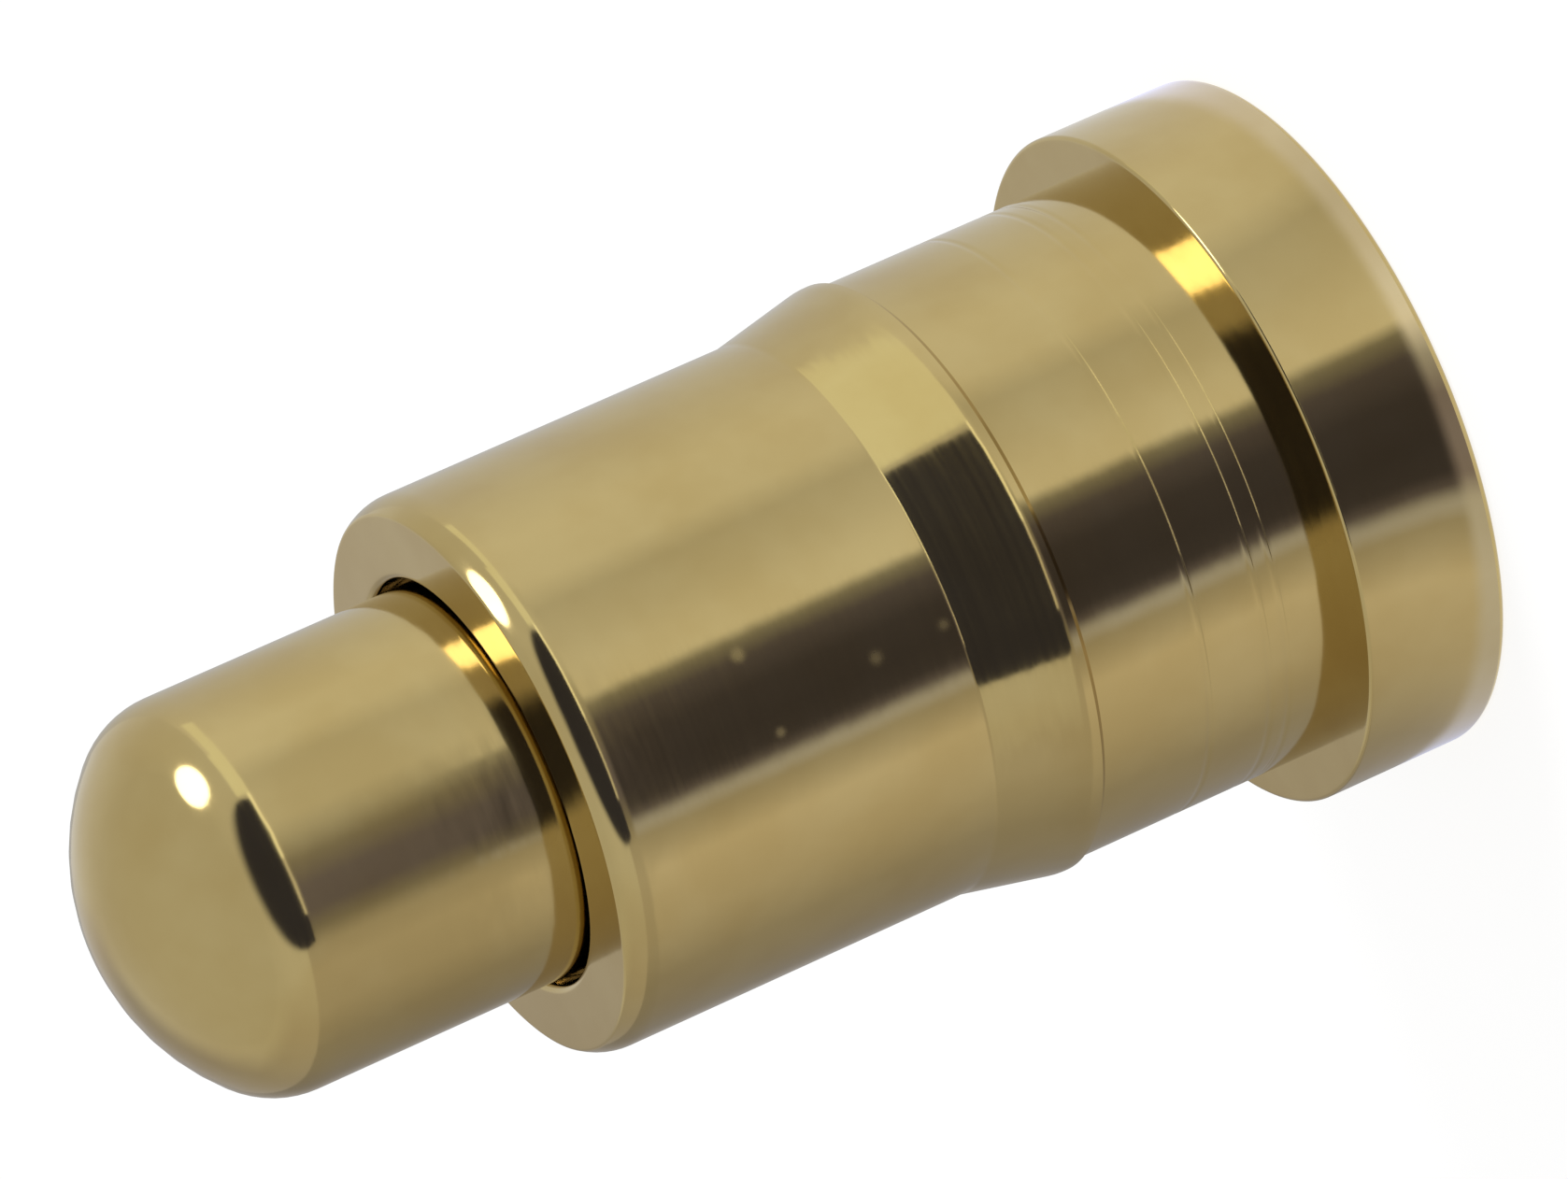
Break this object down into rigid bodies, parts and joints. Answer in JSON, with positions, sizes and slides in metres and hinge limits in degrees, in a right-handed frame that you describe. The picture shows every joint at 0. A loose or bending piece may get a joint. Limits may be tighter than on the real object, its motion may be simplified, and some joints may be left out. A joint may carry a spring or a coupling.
{
  "type": "pogo pin",
  "caption": "Gold-plated spring contact: a domed plunger slides on a coil spring inside a flanged, collared barrel that stands on and solders to a board.",
  "frame": {"origin": "centre of the flange's base face, which rests on the board", "axes": "+Z along the pin's axis from the flange towards the plunger's tip; the pin is round, so X and Y are free"},
  "size_m": [0.0018, 0.0018, 0.0036],
  "materials": {
    "gold_plate": "thin gold plate over turned brass, bright, with fine turning marks",
    "spring_wire": "drawn stainless wire, satin"
  },
  "bodies": {
    "barrel": {"barrel": "gold_plate", "spring": "spring_wire"},
    "plunger": {"plunger": "gold_plate"}
  },
  "joints": [
    {"name": "plunger_press", "type": "slide", "parent": "barrel", "child": "plunger", "axis": [0, 0, -1], "range_m": [0, 0.0007], "stiffness_N_per_m": 1000, "deforming": ["spring"]}
  ]
}
